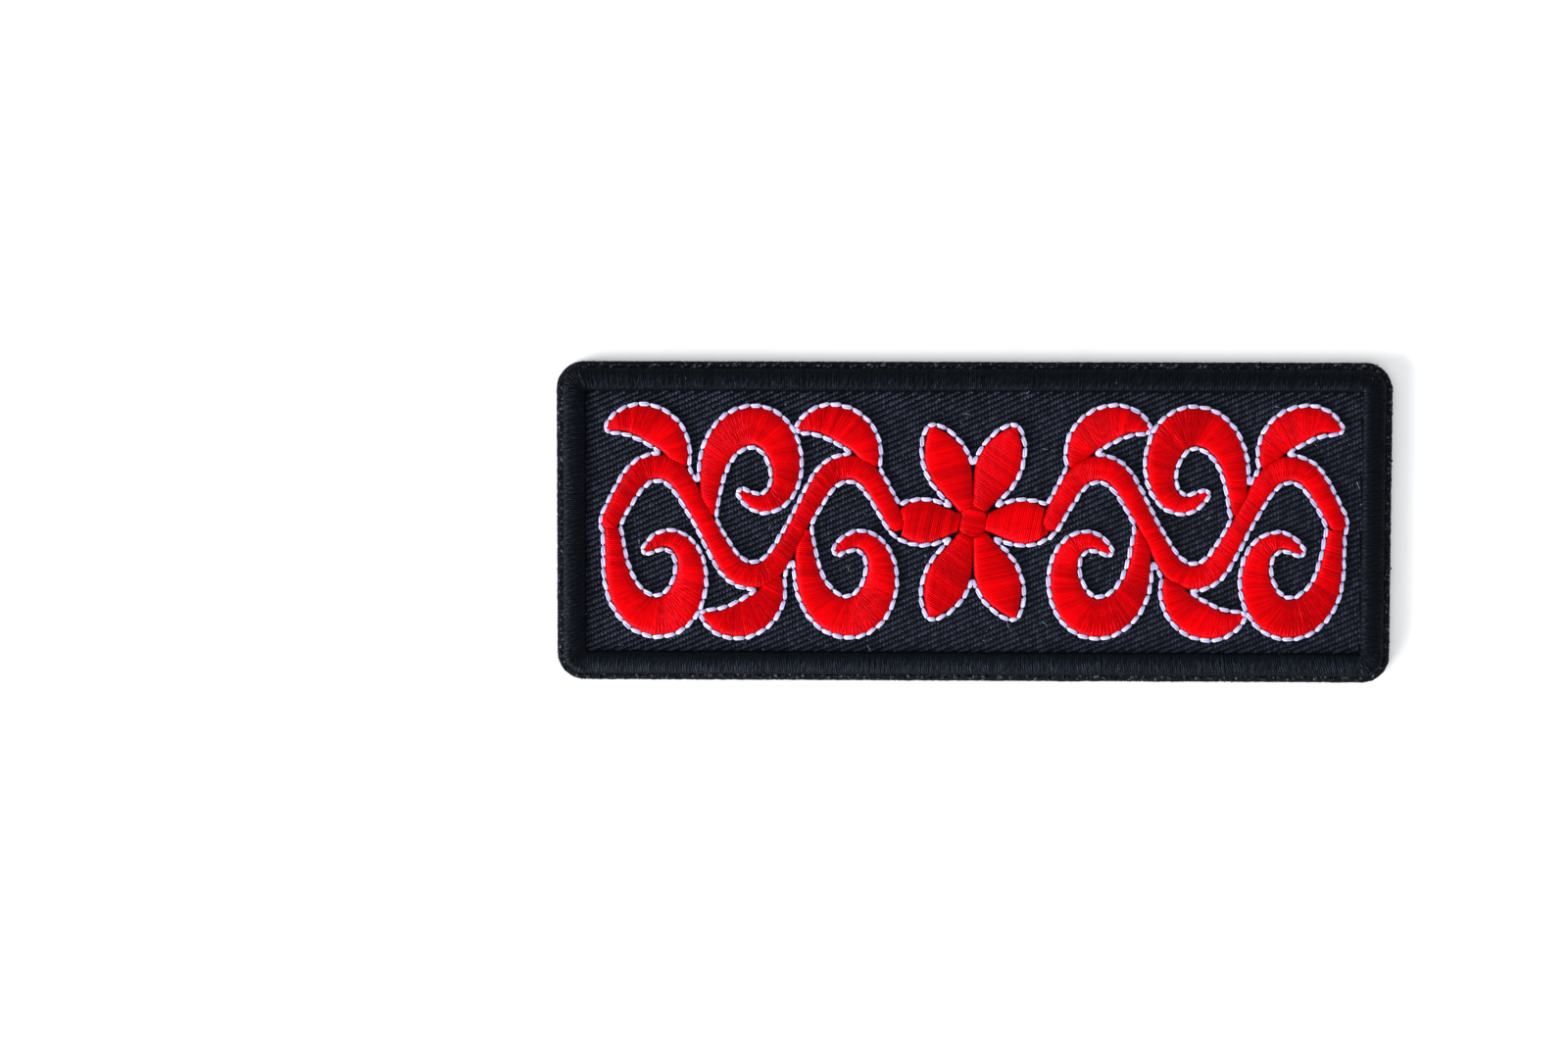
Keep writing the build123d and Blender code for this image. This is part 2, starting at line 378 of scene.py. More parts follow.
def yarnTree():  # a grain of yarn on each point, as a twill's floats show
    tree, w, given, out = openTree("scatterYarn", "GeometryNodeTree", {
        "Geometry": "Geometry", "Length": 0.0006, "Width": 0.0003, "Height": 0.0002, "Lean": 0.0,
        "Lean Spread": 0.1, "Size Spread": 0.1, "Bluntness": 0.35, "Segments": 6, "Rings": 4, "Seed": 1,
        "Material": "Material"}, {"Geometry": "Geometry"})

    def leaning(reach, salt):
        return w.times(given["Lean Spread"], w.chance(-reach, reach, given["Seed"], salt))

    def varied(size, salt):  # half the size, because the grain's own radius is 1
        stray = w.times(given["Size Spread"], w.chance(-1.0, 1.0, given["Seed"], salt))
        return w.times(w.times(given[size], 0.5), w.plus(1.0, stray))

    grain = w.node("GeometryNodeMeshUVSphere", {
        "Radius": 1.0, "Segments": given["Segments"], "Rings": given["Rings"]}).outputs[0]
    grain = w.step("GeometryNodeTransform", grain, {"Rotation": (math.pi / 2, 0, 0)})
    spot = w.parted(w.node("GeometryNodeInputPosition").outputs[0])
    swell = w.plus(1.0, w.times(given["Bluntness"], w.sum("POWER", spot["Y"], 2.0)))
    blunt = w.joined(w.times(spot["X"], swell), spot["Y"], w.times(spot["Z"], swell))
    grain = w.step("GeometryNodeSetPosition", grain, {"Position": blunt})
    for name, part, size in (("threadAlong", "Y", "Length"), ("threadAcross", "X", "Width")):
        grain = w.stored(grain, name, w.times(spot[part], given[size], 0.5))
    size = w.joined(varied("Width", 3), varied("Length", 5), varied("Height", 7))
    turn = w.joined(leaning(0.6, 17), 0.0, w.plus(given["Lean"], leaning(1.0, 13)))
    grains = w.step("GeometryNodeInstanceOnPoints", given["Geometry"], {
        "Instance": grain, "Rotation": turn, "Scale": size})
    grains = w.stored(grains, "threadTone", w.chance(0.0, 1.0, given["Seed"], 29), "INSTANCE")
    w.feed(out["Geometry"], w.painted(w.solid(grains), given["Material"]))
    return tree


layThreads, scatterYarn = threadTree(), yarnTree()


def placed(name, data):  # a new object in the scene
    made = bpy.data.objects.new(name, data)
    bpy.context.scene.collection.objects.link(made)
    return made


def plainMesh(name, vertices, edges=(), faces=(), attributes=None):  # vertices in mm
    mesh = bpy.data.meshes.new(name)
    mesh.from_pydata([tuple(float(c) * mm for c in v) for v in vertices],
                     [tuple(map(int, e)) for e in edges], [tuple(map(int, f)) for f in faces])
    for key, values in (attributes or {}).items():
        carried = mesh.attributes.new(key, "FLOAT", "POINT")
        carried.data.foreach_set("value", np.array(values, np.float32))
    mesh.update()
    return mesh


def grow(name, mesh, tree, **values):  # runs a tree on the mesh and keeps the result as a plain piece
    piece = placed(name, mesh)
    modifier = piece.modifiers.new("shape", "NODES")
    modifier.node_group = tree
    for socket in tree.interface.items_tree:
        if socket.in_out == "INPUT" and socket.name in values:
            modifier[socket.identifier] = values[socket.name]
    depsgraph = bpy.context.evaluated_depsgraph_get()
    result = bpy.data.meshes.new_from_object(
        piece.evaluated_get(depsgraph), preserve_all_data_layers=True, depsgraph=depsgraph)
    piece.modifiers.remove(modifier)
    piece.data = result
    return piece


def bridge(low, high):  # quads between two rings with as many points
    count = len(low)
    return [(low[k], low[(k + 1) % count], high[(k + 1) % count], high[k]) for k in range(count)]


# Lines of the ornament

def waves(at, total, length, seed):  # smooth noise that closes on itself after the total
    count = max(4, round(total / length))
    values = np.random.default_rng(seed).uniform(-1, 1, count)
    spot = at / total * count
    low = np.floor(spot).astype(int) % count
    t = spot - np.floor(spot)
    t = t * t * (3 - 2 * t)
    return values[low] * (1 - t) + values[(low + 1) % count] * t


def smoothRows(rows, steps=24):  # uniform cubic B-spline, from the first row to the last
    rows = np.array(rows, float)
    guides = np.vstack([2 * rows[0] - rows[1], rows, 2 * rows[-1] - rows[-2]])
    t = np.linspace(0, 1, steps, endpoint=False)[:, None]
    spans = [((1 - t) ** 3 * a + (3 * t ** 3 - 6 * t ** 2 + 4) * b
              + (-3 * t ** 3 + 3 * t ** 2 + 3 * t + 1) * c + t ** 3 * d) / 6
             for a, b, c, d in zip(guides, guides[1:], guides[2:], guides[3:])]
    return np.vstack(spans + [rows[-1:]])


def lengths(line):  # how far along the line each sample is
    return np.concatenate([[0], np.cumsum(np.hypot(*np.diff(line[:, :2], axis=0).T))])


def evenly(line, step):  # the same line with its samples a step apart
    run = lengths(line)
    at = np.linspace(0, run[-1], max(2, round(run[-1] / step) + 1))
    return np.stack([np.interp(at, run, column) for column in line.T], 1)


def cellLine(rows, cell, side):
    turn = 1 if cell % 2 == 0 else -1
    start = vineStart + cell * cellLength
    return smoothRows([(side * (start + x * cellLength), turn * y * ornamentHalfY,
                        width * ornament["strokeWidth"]) for x, y, width in rows])


def petalLine(number):
    angle = 2 * math.pi * number / ornament["petals"]
    return smoothRows([(reach * ornament["flowerRadius"] * math.cos(angle),
                        reach * ornamentHalfY * math.sin(angle), width * ornament["petalWidth"])
                       for reach, width in petalRows])


def columnLines():  # in the order of sewing: each is trimmed by those before it
    width = 2 * ornament["bossRadius"]
    lines = {"boss": np.array([(0, -0.001, width), (0, 0.001, width)])}
    for part, rows in (("stem", stemRows), ("curl", curlRows), ("leaf", leafRows)):
        for name, side in (("left", -1), ("right", 1)):
            for cell in range(cellCount):
                lines[f"{part}_{name}_{cell + 1}"] = cellLine(rows, cell, side)
    for number in range(ornament["petals"]):
        lines[f"petal_{number + 1}"] = petalLine(number)
    return {name: evenly(line, ornament["sampleStep"]) for name, line in lines.items()}


columns = columnLines()
farOff = 2.0  # past this distance from the ornament nothing depends on it
blockSize = 4096


def closeTo(points, line, margin):  # which points lie in a column's box and the margin round it
    half = line[:, 2].max() / 2 + margin
    low, high = line[:, :2].min(0) - half, line[:, :2].max(0) + half
    return np.nonzero(((points > low) & (points < high)).all(1))[0]


def awayFrom(points, line):  # distance from a column's edge, below zero inside it
    x, y, width = line[::2].T
    gap = np.empty(len(points))
    for first in range(0, len(points), blockSize):
        block = points[first:first + blockSize]
        gap[first:first + blockSize] = (np.hypot(block[:, :1] - x, block[:, 1:] - y) - width / 2).min(1)
    return gap


def nearOrnament(points):  # distance from the nearest column's edge
    gap = np.full(len(points), farOff)
    for line in columns.values():
        close = closeTo(points, line, farOff)
        gap[close] = np.minimum(gap[close], awayFrom(points[close], line))
    return gap


# Satin columns

satin = {"pitch": 0.25, "radius": 0.215, "slant": 0.20, "crowded": 0.35, "shortEvery": 2,
         "shortBy": 0.28, "capStep": 0.03, "overhang": 0.4, "firstAt": 0.4, "lastAt": 0.3,
         "bendSpan": 13, "trimSamples": 33, "shortest": 0.45, "lowShare": 0.45, "fullHeightAt": 1.8,
         "padSink": 0.11, "wobble": 0.035, "liftSpread": 0.014, "clump": 4, "clumpLift": 0.022,
         "seed": 40, "tree": {"Shoulder": 3.0}}
padding = {"points": 9, "width": 0.97, "root": 0.03, "lowest": 0.04, "fuller": 1.5}
clumpSeed = 500


def stitchRows(line, roundStart, roundEnd):  # both ends of every stitch, and which of them is short
    step, pitch = satin["capStep"], satin["pitch"]
    capped = [line]
    for end, sign, isRound in ((0, -1, roundStart), (-1, 1, roundEnd)):
        way = (line[1, :2] - line[0, :2]) if end == 0 else (line[-1, :2] - line[-2, :2])
        way = way / np.hypot(*way)
        half = line[end, 2] / 2
        out = np.arange(step, half if isRound else satin["overhang"], step)
        width = 2 * np.sqrt(half ** 2 - out ** 2) if isRound else np.full(len(out), 2 * half)
        cap = np.stack([line[end, 0] + sign * way[0] * out, line[end, 1] + sign * way[1] * out,
                        width], 1)
        capped = [cap[::-1], *capped] if sign < 0 else [*capped, cap]
    first = 0.0 if roundStart else step * len(capped[0])
    last = 0.0 if roundEnd else step * len(capped[-1])
    line = np.vstack(capped)
    run = lengths(line)
    way = np.gradient(line[:, :2], run, axis=0)
    heading = np.unwrap(np.arctan2(way[:, 1], way[:, 0]))
    bend, span = np.gradient(heading, run), satin["bendSpan"]
    bend = np.convolve(np.pad(bend, span // 2, "edge"), np.ones(span) / span, "valid")
    normal = np.stack([-np.sin(heading), np.cos(heading)], 1)
    half = line[:, 2] / 2
    leftRail, rightRail = line[:, :2] + normal * half[:, None], line[:, :2] - normal * half[:, None]

    def at(rail, s):
        return np.array([np.interp(s, run, rail[:, 0]), np.interp(s, run, rail[:, 1])])

    rows, s, count = [], first + satin["firstAt"] * pitch, 0
    while s < run[-1] - last - satin["lastAt"] * pitch:
        halfHere, bendHere = np.interp(s, run, half), np.interp(s, run, bend)
        slide = satin["slant"] * halfHere
        crowding = halfHere * abs(bendHere)
        short = 0
        if crowding > satin["crowded"] and count % satin["shortEvery"]:
            short = 1 if bendHere > 0 else -1
        rows.append((at(leftRail, s + slide), at(rightRail, s - slide), short))
        s += pitch / (1 + crowding)
        count += 1
    return rows


def trimRows(rows, blockers, gap):  # the longest stretch of each stitch that no earlier column covers
    if not blockers:
        return rows
    t = np.linspace(0, 1, satin["trimSamples"])
    ends = np.array([(left, right) for left, right, _ in rows])
    points = (ends[:, None, 0] + (ends[:, 1] - ends[:, 0])[:, None] * t[None, :, None]).reshape(-1, 2)
    covered = np.zeros(len(points), bool)
    for line in blockers:
        close = closeTo(points, line, gap)
        covered[close] |= awayFrom(points[close], line) < gap
    kept = []
    for (left, right, short), hidden in zip(rows, covered.reshape(len(rows), -1)):
        best, start = (0, 0), None
        for k, one in enumerate([*hidden, True]):
            if not one and start is None:
                start = k
            if one and start is not None:
                best = max(best, (k - start, start))
                start = None
        if best[0] < 2:
            kept.append(None)
            continue
        a, b = t[best[1]], t[best[1] + best[0] - 1]
        short = 0 if (short > 0 and a > 0) or (short < 0 and b < 1) else short
        kept.append((left + (right - left) * a, left + (right - left) * b, short))
    return kept


def padOf(rows, heights, sink, shoulder, closed):  # padding under the stitches, a domed ring for each
    shares = np.sin(np.linspace(-1, 1, padding["points"]) * math.pi / 2)
    dome = np.sqrt(np.clip(1 - np.abs(shares) ** (shoulder + padding["fuller"]), 0, 1))
    root = padding["root"]
    vertices, faces, run = [], [], []

    def closeRun():
        if len(run) > 1:
            faces.append(run[0][::-1])
            faces.append(run[-1])
        elif run:
            del vertices[run[0][0]:]
        run.clear()

    for row, height in zip(rows, heights):
        if row is None:
            closeRun()
            continue
        left, right = row[:2]
        ring = list(range(len(vertices), len(vertices) + len(shares)))
        for share, rise in zip(shares, dome):
            spot = left + (right - left) * (0.5 + 0.5 * share * padding["width"])
            vertices.append((*spot, faceZ - root + max(height - sink + root, padding["lowest"]) * rise))
        if run:
            faces.extend(bridge(run[-1], ring))
        run.append(ring)
    if closed:
        faces.extend(bridge(run[-1], run[0]))
    else:
        closeRun()
    return vertices, faces


def sewPiece(name, rows, heights, how, colours, number=0, padded=True, closed=False, base=0.0):
    vertices, faces, edges, seed = [], [], [], how["seed"] + number
    if padded:
        vertices, faces = padOf(rows, heights, how["padSink"], how["tree"]["Shoulder"], closed)
    isPad, crown, clump = [1.0] * len(vertices), [0.0] * len(vertices), [0.0] * len(vertices)
    at = np.arange(len(rows))
    shared = waves(at, len(rows), how["clump"], clumpSeed + seed)  # neighbours are alike
    for row, height, likeness in zip(rows, heights, shared):
        if row is None:
            continue
        left, right, short = row
        if short > 0:
            left = left + (right - left) * how["shortBy"]
        if short < 0:
            right = right + (left - right) * how["shortBy"]
        edges.append((len(vertices), len(vertices) + 1))
        vertices += [(*left, faceZ + base), (*right, faceZ + base)]
        isPad += [0.0, 0.0]
        crown += [(height - how["radius"] - base + how["clumpLift"] * likeness) * mm] * 2
        clump += [likeness] * 2
    mesh = plainMesh(name, vertices, edges, faces, {"pad": isPad, "crown": crown, "clump": clump})
    return grow(name, mesh, layThreads, **{
        "Thread Radius": how["radius"] * mm, "Wobble": how["wobble"] * mm,
        "Lift Spread": how["liftSpread"] * mm, "Seed": seed, "Thread Material": colours[0],
        "Pad Material": colours[1], **how["tree"]})


def sewColumns():
    pieces, sewn = [], []
    for number, (name, line) in enumerate(columns.items()):
        isStem, cell = name.startswith("stem"), int(name[-1]) if name[-1].isdigit() else 0
        rows = stitchRows(line, not isStem or cell == 1, not isStem or cell == cellCount)
        rows = rows if isStem else trimRows(rows, sewn, ornament["seam"] * 0.5)
        spans = [0 if row is None else float(np.hypot(*(row[1] - row[0]))) for row in rows]
        rows = [row if span > satin["shortest"] else None for row, span in zip(rows, spans)]
        low, full = satin["lowShare"], satin["fullHeightAt"]
        heights = [ornament["height"] * min(1.0, low + (1 - low) * span / full) for span in spans]
        piece = sewPiece(f"{name}_satin", rows, heights, satin, (redSatin, redUnderlayPaintedShade), number)
        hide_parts(name)
        pieces.append(piece)
        sewn.append(line)
    return pieces


satinPieces = sewColumns()
faceCount = sum(len(piece.data.polygons) for piece in satinPieces)
print("satin columns sewn:", len(satinPieces), "with", faceCount, "faces")


# Satin border

borderSatin = {"pitch": 0.235, "radius": 0.235, "tuck": 0.18, "shortBy": 0.5, "padSink": 0.11,
               "wobble": 0.07, "liftSpread": 0.022, "clump": 3.0, "clumpLift": 0.035, "seed": 7,
               "tree": {"Shoulder": 2.2}}


def roundedPath(half, radius, straight, arc):  # points round a rounded rectangle, side after corner
    corners = np.array([(1, -1), (1, 1), (-1, 1), (-1, -1)]) * (half[0] - radius, half[1] - radius)
    points = []
    for quarter, outward in enumerate(np.array([(0, -1), (1, 0), (0, 1), (-1, 0)])):
        before, corner = corners[quarter - 1], corners[quarter]
        for t in np.linspace(0, 1, straight[quarter % 2], endpoint=False):
            points.append(before + (corner - before) * t + outward * radius)
        for t in np.linspace(0, 1, arc, endpoint=False):
            angle = math.radians(-90 + 90 * quarter + 90 * t)
            points.append(corner + radius * np.array([math.cos(angle), math.sin(angle)]))
    return np.array(points)


def pathCounts(half, radius, step):  # how many points a step apart go on each side and each corner
    return [int(round(2 * (side - radius) / step)) for side in half], round(math.pi / 2 * radius / step)


def sewBorder():
    half, tuck = halfSize - band["margin"], borderSatin["tuck"]
    radius = patch["cornerRadius"] - band["margin"]
    counts = pathCounts(half, radius, borderSatin["pitch"])
    outer = roundedPath(half - tuck, radius - tuck, *counts)
    inner = roundedPath(windowHalf, band["windowCorner"], *counts)
    rows, corner = [], 0
    for near, far in zip(inner, outer):
        corner = corner + 1 if (np.abs(far) > half - radius).all() else 0
        rows.append((near, far, 1 if corner % 2 else 0))
    piece = sewPiece("satin_border_stitches", rows, [band["height"]] * len(rows), borderSatin,
                     (blackSatin, blackUnderlayPaintedLight), closed=True)
    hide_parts("satin_border")
    return piece


border = sewBorder()
print("border sewn:", len(border.data.polygons), "faces")


# Running stitch round the ornament

running = {"longest": 1.42, "shortest": 0.90, "bow": 1.05, "cornerTurn": 50, "cornerReach": 6,
           "radius": 0.118, "height": 0.42, "base": 0.02, "fromEdge": 0.34, "endGap": 0.155,
           "lean": 0.05, "leanSpread": 0.06, "wobble": 0.03, "liftSpread": 0.03, "clump": 4,
           "clumpLift": 0.01, "seed": 90, "gridStep": 0.15, "sampleStep": 0.1, "turnReach": 4,
           "leastTurn": 0.02, "leastPoints": 12,
           "tree": {"Strands": 3, "Strand Spacing": 0.143 * mm, "Strand Shift": 0.055 * mm,
                    "Fullness": 14.0, "Shoulder": 4.2, "Steps": 9, "End Taper": 0.06}}


def contourLoops(level, step):  # closed lines that run at one distance from the ornament's edge
    xs, ys = [np.arange(-half, half + step, step) for half in windowHalf]
    grid = np.stack(np.meshgrid(xs, ys, indexing="ij"), -1).reshape(-1, 2)
    field = nearOrnament(grid).reshape(len(xs), len(ys)) - level
    inside = field < 0
    joins = {}

    def crossing(a, b):  # where the level crosses the grid edge from a to b
        share = field[a] / (field[a] - field[b])
        return (xs[a[0]] + (xs[b[0]] - xs[a[0]]) * share, ys[a[1]] + (ys[b[1]] - ys[a[1]]) * share)

    mixed = inside[:-1, :-1].astype(int) + inside[1:, :-1] + inside[:-1, 1:] + inside[1:, 1:]
    for i, j in zip(*np.nonzero((mixed > 0) & (mixed < 4))):
        ring = [(i, j), (i + 1, j), (i + 1, j + 1), (i, j + 1)]
        sides = zip(ring, ring[1:] + ring[:1])
        cuts = [tuple(sorted((a, b))) for a, b in sides if inside[a] != inside[b]]
        if len(cuts) == 4 and not inside[i, j]:
            cuts = cuts[1:] + cuts[:1]
        for a, b in zip(cuts[::2], cuts[1::2]):
            joins.setdefault(a, []).append(b)
            joins.setdefault(b, []).append(a)
    loops, used = [], set()
    for first in sorted(joins):
        if first in used:
            continue
        loop, here = [], first
        while here is not None:
            used.add(here)
            loop.append(crossing(*here))
            here = next((n for n in joins[here] if n not in used), None)
        if len(loop) > running["leastPoints"]:
            loops.append(np.array(loop))
    return loops


def stitchLoop(loop):  # needle points round a closed line, closer in bends, one at each sharp corner
    step, reach, around = running["sampleStep"], running["turnReach"], running["cornerReach"]
    loop = evenly(np.vstack([loop, loop[:1]]), step)[:-1]
    for _ in range(2):
        loop = (np.roll(loop, 1, 0) + 2 * loop + np.roll(loop, -1, 0)) / 4
    before, after = loop - np.roll(loop, reach, 0), np.roll(loop, -reach, 0) - loop
    turn = np.degrees(np.arctan2(after[:, 1], after[:, 0]) - np.arctan2(before[:, 1], before[:, 0]))
    turn = np.abs((turn + 180) % 360 - 180)
    corners = [k for k in range(len(loop)) if turn[k] > running["cornerTurn"]
               and turn[k] == max(turn[(k + d) % len(loop)] for d in range(-around, around + 1))]
    corners = corners or [0]
    radius = reach * step / np.maximum(np.radians(turn), running["leastTurn"])
    want = np.clip(np.sqrt(running["bow"] * radius), running["shortest"], running["longest"])
    needles = []
    for a, b in zip(corners, corners[1:] + [corners[0] + len(loop)]):
        index = np.arange(a, b + 1) % len(loop)
        count = np.concatenate([[0], np.cumsum(step / want[index][:-1])])
        whole = max(1, round(count[-1]))
        at = np.interp(np.linspace(0, count[-1], whole + 1)[:-1], count, np.arange(len(index)))
        needles += [loop[index[int(round(p))]] for p in at]
    return needles


def sewOutline():
    draw = np.random.default_rng(running["seed"])
    rows = []
    for loop in contourLoops(running["fromEdge"], running["gridStep"]):
        needles = stitchLoop(loop)
        if len(needles) < 3:
            continue
        for a, b in zip(needles, needles[1:] + needles[:1]):
            way = (b - a) / max(np.hypot(*(b - a)), running["sampleStep"])
            gap = running["endGap"] * way
            slope = running["lean"] + running["leanSpread"] * draw.uniform(-1, 1)
            lean = slope * np.array([-way[1], way[0]])
            rows.append((a + gap - lean, b - gap + lean, 0))
    piece = sewPiece("outline_running_stitch", rows, [running["height"]] * len(rows), running,
                     (whiteStitchThread, whiteStitchThread), padded=False, base=running["base"])
    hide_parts("white_outline")
    return piece, len(rows)


outline, stitchCount = sewOutline()
print("outline sewn:", stitchCount, "stitches,", len(outline.data.polygons), "faces")


# Twill ground

ground = {"ringStep": 0.17, "scallop": 0.04, "scallopLength": 0.45, "scallopSeed": 5, "waver": 0.02,
          "waverLength": 6.0, "waverSeed": 6, "fuzz": 0.025, "fuzzLength": 0.24, "fuzzSeed": 20,
          "top": 1.11, "yarnRise": 0.02}
# height on the cut side, inset from the patch's outline, and how far that level strays
groundLevels = [(0.0, 0.14, 0.3), (0.06, 0.05, 0.8), (0.25, -0.04, 1.0), (0.48, -0.03, 1.0),
                (0.72, -0.05, 1.0), (0.94, -0.04, 1.0), (1.06, 0.06, 0.7), (ground["top"], 0.32, 0.0)]


def cutGround():
    g, radius = ground, patch["cornerRadius"]
    rim = roundedPath(halfSize, radius, *pathCounts(halfSize, radius, g["ringStep"]))
    way = np.roll(rim, -1, 0) - np.roll(rim, 1, 0)
    way /= np.hypot(*way.T)[:, None]
    inward = np.stack([-way[:, 1], way[:, 0]], 1)
    total, at = g["ringStep"] * len(rim), np.arange(len(rim)) * g["ringStep"]
    shared = (g["scallop"] * waves(at, total, g["scallopLength"], g["scallopSeed"])
              + g["waver"] * waves(at, total, g["waverLength"], g["waverSeed"]))
    vertices, rings = [], []
    for level, (z, inset, stray) in enumerate(groundLevels):
        own = g["fuzz"] * waves(at, total, g["fuzzLength"], g["fuzzSeed"] + level)
        edge = rim + inward * (inset + stray * (shared + own))[:, None]
        rings.append(list(range(len(vertices), len(vertices) + len(edge))))
        vertices += [(x, y, z) for x, y in edge]
    faces = [quad for low, high in zip(rings, rings[1:]) for quad in bridge(low, high)]
    faces += [rings[0][::-1], rings[-1]]
    mesh = plainMesh("twill_ground_cloth", vertices, (), faces)
    mesh.polygons.foreach_set("use_smooth", [len(p.vertices) == 4 for p in mesh.polygons])
    mesh.materials.append(twillCloth)
    piece = placed("twill_ground_cloth", mesh)
    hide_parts("twill_ground")
    return piece


weaving = {"ribAngle": 24.2, "ribStep": 0.428, "yarnLean": 3.3, "yarnStep": 0.711, "reach": (150, 120),
           "shiftSpread": 0.022, "marginSpread": 0.23, "fromBand": 0.12, "fromCut": 0.28,
           "underBand": 0.15, "underStitch": 0.58, "windowEdge": 0.1, "seed": 12}
yarns = {"length": 0.68, "width": 0.50, "height": 0.28, "lean": -38.0, "leanSpread": 0.07,
         "sizeSpread": 0.10, "segments": 6, "rings": 4, "seed": 12}
marginYarns = {**yarns, "length": 0.42, "width": 0.28, "leanSpread": 1.0, "sizeSpread": 0.3,
               "segments": 8, "rings": 5}  # crushed by the cut
beads = {"spacing": 0.37, "inset": 0.08, "levels": (0.20, 0.50, 0.80), "length": 0.30, "width": 0.30,
         "height": 0.30, "lean": 0.0, "leanSpread": 1.2, "sizeSpread": 0.28, "segments": 7, "rings": 5,
         "seed": 33}


def yarnSpots():  # the twill's own lattice, where it isn't sewn over
    g = weaving
    ribAngle, yarnLean = math.radians(g["ribAngle"]), math.radians(g["yarnLean"])
    rib = np.array([math.cos(ribAngle), math.sin(ribAngle)]) * g["ribStep"]
    yarn = np.array([-math.sin(yarnLean), math.cos(yarnLean)]) * g["yarnStep"]
    i, j = np.meshgrid(*[np.arange(-reach, reach + 1) for reach in g["reach"]], indexing="ij")
    spots = i.reshape(-1, 1) * rib + j.reshape(-1, 1) * yarn
    radius = patch["cornerRadius"]
    outside = np.maximum(np.abs(spots) - (halfSize - radius), 0)
    inCorner = (outside > 0).all(1)
    fromCut = np.where(inCorner, radius - np.hypot(*outside.T), (halfSize - np.abs(spots)).min(1))
    inWindow = (np.abs(spots) < windowHalf - g["fromBand"]).all(1)
    onMargin = (fromCut > g["fromCut"]) & (fromCut < band["margin"] + g["underBand"])
    spots = np.vstack([spots[inWindow | onMargin], spots[onMargin] + 0.5 * rib])
    shift = np.where((np.abs(spots) < windowHalf).all(1), g["shiftSpread"], g["marginSpread"])
    spots = spots + np.random.default_rng(g["seed"]).uniform(-1, 1, spots.shape) * shift[:, None]
    return spots[nearOrnament(spots) > g["underStitch"]]


def scatter(name, spots, how, material):
    return grow(name, plainMesh(name, spots), scatterYarn, **{
        "Length": how["length"] * mm, "Width": how["width"] * mm, "Height": how["height"] * mm,
        "Lean": math.radians(how["lean"]), "Lean Spread": how["leanSpread"],
        "Size Spread": how["sizeSpread"], "Segments": how["segments"], "Rings": how["rings"],
        "Seed": how["seed"], "Material": material})


def weaveGround(name, spots, how, material):
    z = ground["top"] + ground["yarnRise"]
    return scatter(name, [(x, y, z) for x, y in spots], how, material)


def meltEdge():  # yarn ends fused into beads along the hot-cut edge
    half, radius = halfSize - beads["inset"], patch["cornerRadius"] - beads["inset"]
    path = roundedPath(half, radius, *pathCounts(half, radius, beads["spacing"]))
    spots = []
    for row, z in enumerate(beads["levels"]):
        shifted = path + (np.roll(path, -1, 0) - path) * (0.5 * (row % 2))
        spots += [(x, y, z) for x, y in shifted]
    return scatter("cut_edge_yarn_ends", spots, beads, meltedYarn)


cloth = cutGround()
spots = yarnSpots()
inWindow = (np.abs(spots) < windowHalf + weaving["windowEdge"]).all(1)
clothPieces = [weaveGround("twill_yarns", spots[inWindow], yarns, twillYarn),
               weaveGround("cut_margin_yarns", spots[~inWindow], marginYarns, cutEdgeYarnPaintedGlints), meltEdge()]
print("ground woven:", [len(piece.data.polygons) for piece in clothPieces], "faces")


# Lint and loose fibres

lint = {"fibres": 14, "specks": 90, "radius": 0.022, "fibreLength": (0.4, 0.9),
        "speckLength": (0.05, 0.15), "fromEdge": 0.5, "fromOrnament": 0.9, "bandSkip": 0.8,
        "bandShare": 0.95, "rise": 0.09, "tilt": (-0.01, 0.03), "seed": 3}
fuzz = {"count": 1000, "radius": 0.013, "path": ((400, 140), 20), "shift": 0.25, "topShare": 0.65,
        "topZ": 1.17, "topRoot": (0.1, 0.6), "topRun": 0.7, "sideZ": (0.15, 1.05), "sideRoot": 0.05,
        "sideRun": 0.5, "length": (0.08, 0.26), "turn": 1.4, "lift": 0.6, "seed": 51}
strands = {"Steps": 6, "Sides": 3, "End Taper": 0.3, "Wobble": 0.12 * mm, "Lift Spread": 0.01 * mm}


def strewStrands(name, ends, radius, material, seed):  # thin fibres from end to end, in mm
    vertices = [spot for pair in ends for spot in pair]
    flat = [0.0] * len(vertices)
    edges = [(k, k + 1) for k in range(0, len(vertices), 2)]
    mesh = plainMesh(name, vertices, edges, (), {"pad": flat, "crown": flat})
    piece = grow(name, mesh, layThreads, **{
        "Thread Radius": radius * mm, "Seed": seed, "Thread Material": material,
        "Pad Material": material, **strands})
    return piece


def strewLint():  # a few fibres and many short pale specks of dust
    draw = np.random.default_rng(lint["seed"])
    ends = []
    while len(ends) < lint["fibres"] + lint["specks"]:
        spot = draw.uniform(-1, 1, 2) * (halfSize - lint["fromEdge"])
        angle = draw.uniform(0, math.pi)
        length = draw.uniform(*lint["fibreLength" if len(ends) < lint["fibres"] else "speckLength"])
        inBand = (np.abs(spot) > windowHalf).any()
        tooNear = nearOrnament(spot[None])[0] < lint["fromOrnament"]
        if tooNear or (inBand and draw.uniform() < lint["bandSkip"]):
            continue
        half = 0.5 * length * np.array([math.cos(angle), math.sin(angle)])
        z = faceZ + (band["height"] * lint["bandShare"] if inBand else lint["rise"])
        ends.append(((*(spot - half), z), (*(spot + half), z + draw.uniform(*lint["tilt"]))))
    return strewStrands("loose_lint", ends, lint["radius"], lintFibre, lint["seed"])


